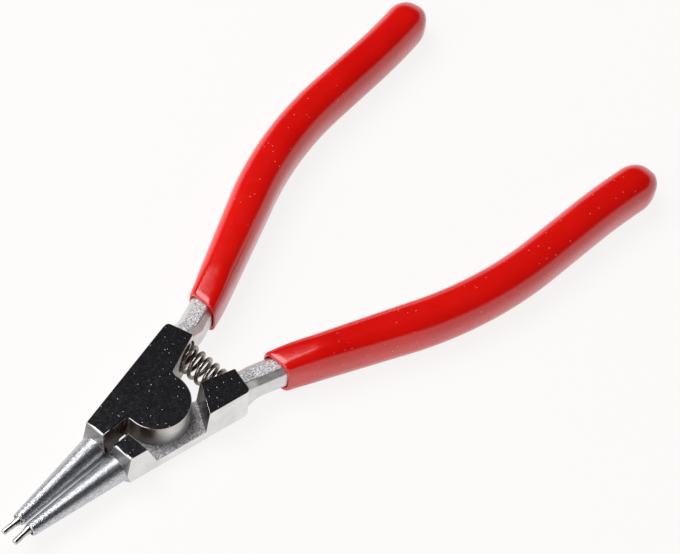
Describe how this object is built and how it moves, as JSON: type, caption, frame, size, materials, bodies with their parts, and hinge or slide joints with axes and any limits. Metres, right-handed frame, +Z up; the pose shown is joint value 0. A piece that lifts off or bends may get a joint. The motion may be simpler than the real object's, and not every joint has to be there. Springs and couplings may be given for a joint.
{
  "type": "circlip pliers",
  "caption": "Straight circlip pliers for external retaining rings: lapped steel levers with round pin tips, a return spring behind the pivot and dipped red grips.",
  "frame": {"origin": "Middle of the bounding box in X and Y, on the ground that the tool lies on", "axes": "+X from the tips to the handles along the tool's centre line, +Y to the upper lever's side, +Z up, out of the face that carries the round boss"},
  "size_m": [0.1403, 0.0664, 0.0092],
  "materials": {
    "lever_steel": "chrome-plated forged steel with polished head faces, satin jaws and rough handle roots",
    "spring_steel": "dark drawn spring wire",
    "grip_plastic": "glossy red dipped plastic coat",
    "tip_steel": "bright ground steel"
  },
  "bodies": {
    "lower": {"lower_lever": "lever_steel", "lower_grip": "grip_plastic", "lower_tip": "tip_steel", "return_spring": "spring_steel"},
    "upper": {"upper_lever": "lever_steel", "upper_grip": "grip_plastic", "upper_tip": "tip_steel", "pivot_screw": "lever_steel"}
  },
  "joints": [
    {"name": "pivot", "type": "hinge", "parent": "lower", "child": "upper", "pos_m": [-0.03493, 0, 0.0046], "axis": [0, 0, -1], "range_deg": [0, 24], "stiffness_Nm_per_rad": 1, "springref_deg": -8.59, "deforming": ["return_spring"]}
  ]
}
